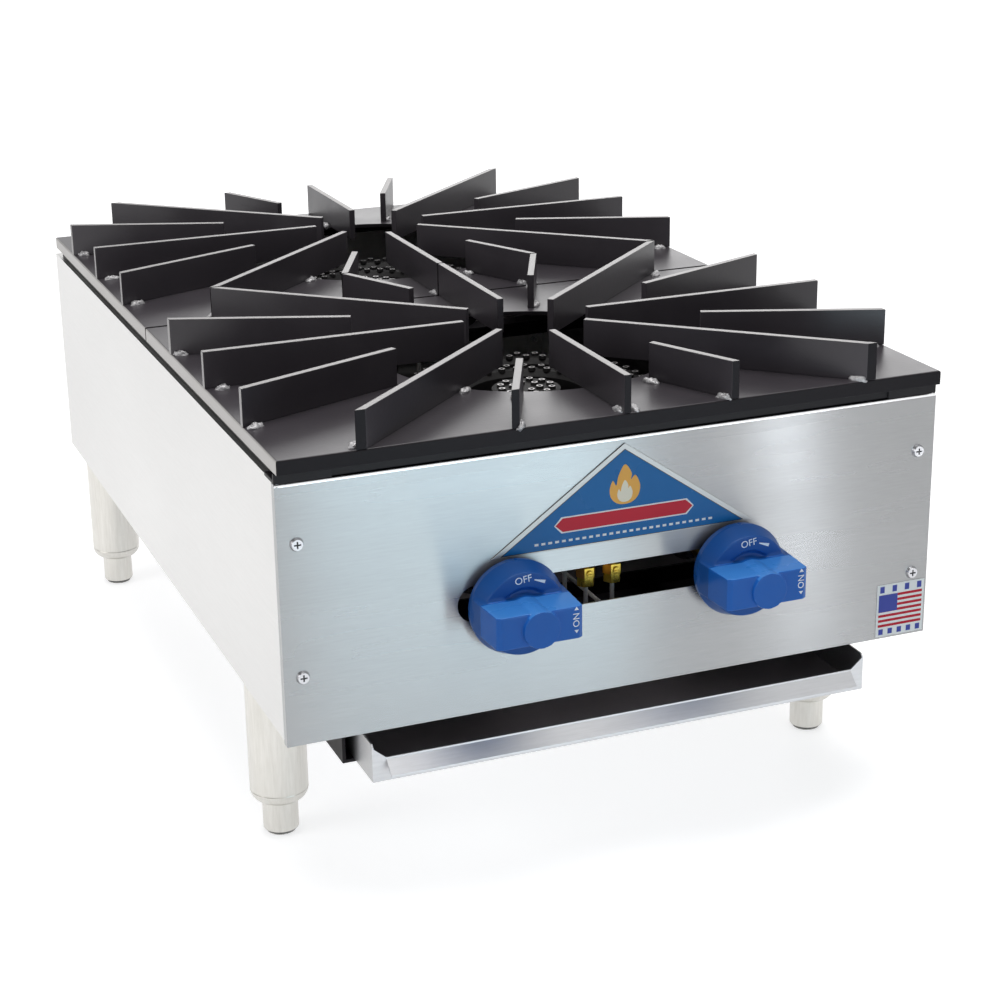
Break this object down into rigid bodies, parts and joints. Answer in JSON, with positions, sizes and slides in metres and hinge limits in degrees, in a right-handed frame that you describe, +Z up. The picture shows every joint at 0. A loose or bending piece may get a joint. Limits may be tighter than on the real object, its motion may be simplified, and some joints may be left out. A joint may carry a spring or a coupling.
{
  "type": "countertop gas hotplate",
  "caption": "Narrow stainless countertop gas hotplate with front and rear open burners, radial-fin steel grates, blue knobs, a slide-out drip tray and adjustable legs.",
  "frame": {"origin": "on the surface it stands on, under the middle of its overall box, from the knobs' front to the gas inlet's end", "axes": "+X to the right seen from the front, +Y from the front panel to the back, +Z up"},
  "size_m": [0.457, 0.743, 0.3291],
  "materials": {
    "panel_steel": "brushed stainless steel",
    "frame_black": "matte black paint",
    "grate_coating": "matte black heat-resistant paint on steel",
    "burner_iron": "bare dark cast iron",
    "plated_steel": "zinc-plated steel",
    "pipe_black": "black steel pipe",
    "brass": "machined brass",
    "pilot_tube": "drawn aluminium tube",
    "knob_blue": "blue moulded plastic with white marks",
    "tray_steel": "galvanised sheet",
    "leg_steel": "satin plated steel",
    "badge_blue": "blue enamel with a silver border",
    "label_white": "printed film"
  },
  "bodies": {
    "root": {"front_panel": "panel_steel", "left_side_panel": "panel_steel", "right_side_panel": "panel_steel", "back_panel": "panel_steel", "front_top_rail": "frame_black", "rear_top_rail": "frame_black", "left_top_rail": "frame_black", "right_top_rail": "frame_black", "front_cross_member": "frame_black", "rear_cross_member": "frame_black", "front_burner_bars": "frame_black", "rear_burner_bars": "frame_black", "front_burner": "burner_iron", "rear_burner": "burner_iron", "manifold_pipe": "pipe_black", "manifold_cap": "pipe_black", "manifold_elbow": "pipe_black", "supply_pipe": "pipe_black", "manifold_brackets": "pipe_black", "left_gas_valve": "brass", "right_gas_valve": "brass", "left_orifice_hood": "brass", "right_orifice_hood": "brass", "left_pilot_valve": "brass", "right_pilot_valve": "brass", "pilot_nuts": "brass", "front_pilot_tube": "pilot_tube", "rear_pilot_tube": "pilot_tube", "front_pilot_tip": "plated_steel", "rear_pilot_tip": "plated_steel", "left_tray_runner": "frame_black", "right_tray_runner": "frame_black", "front_left_leg": "leg_steel", "front_right_leg": "leg_steel", "rear_left_leg": "leg_steel", "rear_right_leg": "leg_steel", "leg_plates": "plated_steel", "leg_bolts": "plated_steel", "front_panel_screws": "plated_steel", "back_panel_screws": "plated_steel", "badge_plate": "badge_blue", "label_plate": "label_white"},
    "front_grate": {"front_grate_plate": "grate_coating", "front_grate_fins": "grate_coating"},
    "rear_grate": {"rear_grate_plate": "grate_coating", "rear_grate_fins": "grate_coating"},
    "left_knob": {"left_knob": "knob_blue", "left_valve_stem": "brass"},
    "right_knob": {"right_knob": "knob_blue", "right_valve_stem": "brass"},
    "drip_tray": {"drip_tray": "tray_steel"},
    "front_air_shutter": {"front_air_shutter": "plated_steel"},
    "rear_air_shutter": {"rear_air_shutter": "plated_steel"},
    "left_pilot_screw": {"left_pilot_screw": "brass"},
    "right_pilot_screw": {"right_pilot_screw": "brass"},
    "front_left_foot": {"front_left_foot": "leg_steel"},
    "front_right_foot": {"front_right_foot": "leg_steel"},
    "rear_left_foot": {"rear_left_foot": "leg_steel"},
    "rear_right_foot": {"rear_right_foot": "leg_steel"}
  },
  "joints": [
    {"name": "left_knob_turn", "type": "hinge", "parent": "root", "child": "left_knob", "pos_m": [-0.0785, -0.3195, 0.189], "axis": [0, -1, 0], "range_deg": [0, 90]},
    {"name": "right_knob_turn", "type": "hinge", "parent": "root", "child": "right_knob", "pos_m": [0.0785, -0.3195, 0.189], "axis": [0, -1, 0], "range_deg": [0, 90]},
    {"name": "drip_tray_slide", "type": "slide", "parent": "root", "child": "drip_tray", "axis": [0, -1, 0], "range_m": [0, 0.5]},
    {"name": "front_grate_lift", "type": "slide", "parent": "root", "child": "front_grate", "axis": [0, 0, 1], "range_m": [0, 0.08]},
    {"name": "rear_grate_lift", "type": "slide", "parent": "root", "child": "rear_grate", "axis": [0, 0, 1], "range_m": [0, 0.08]},
    {"name": "front_air_shutter_turn", "type": "hinge", "parent": "root", "child": "front_air_shutter", "pos_m": [-0.0785, -0.2545, 0.189], "axis": [0, -1, 0], "range_deg": [0, 70]},
    {"name": "rear_air_shutter_turn", "type": "hinge", "parent": "root", "child": "rear_air_shutter", "pos_m": [0.0785, -0.2545, 0.189], "axis": [0, -1, 0], "range_deg": [0, 70]},
    {"name": "left_pilot_screw_turn", "type": "hinge", "parent": "root", "child": "left_pilot_screw", "pos_m": [-0.0133, -0.2925, 0.18855], "axis": [0, -1, 0], "range_deg": [0, 270]},
    {"name": "right_pilot_screw_turn", "type": "hinge", "parent": "root", "child": "right_pilot_screw", "pos_m": [0.0056, -0.2925, 0.18855], "axis": [0, -1, 0], "range_deg": [0, 270]},
    {"name": "front_left_foot_height", "type": "slide", "parent": "root", "child": "front_left_foot", "axis": [0, 0, -1], "range_m": [0, 0.02]},
    {"name": "front_right_foot_height", "type": "slide", "parent": "root", "child": "front_right_foot", "axis": [0, 0, -1], "range_m": [0, 0.02]},
    {"name": "rear_left_foot_height", "type": "slide", "parent": "root", "child": "rear_left_foot", "axis": [0, 0, -1], "range_m": [0, 0.02]},
    {"name": "rear_right_foot_height", "type": "slide", "parent": "root", "child": "rear_right_foot", "axis": [0, 0, -1], "range_m": [0, 0.02]}
  ]
}
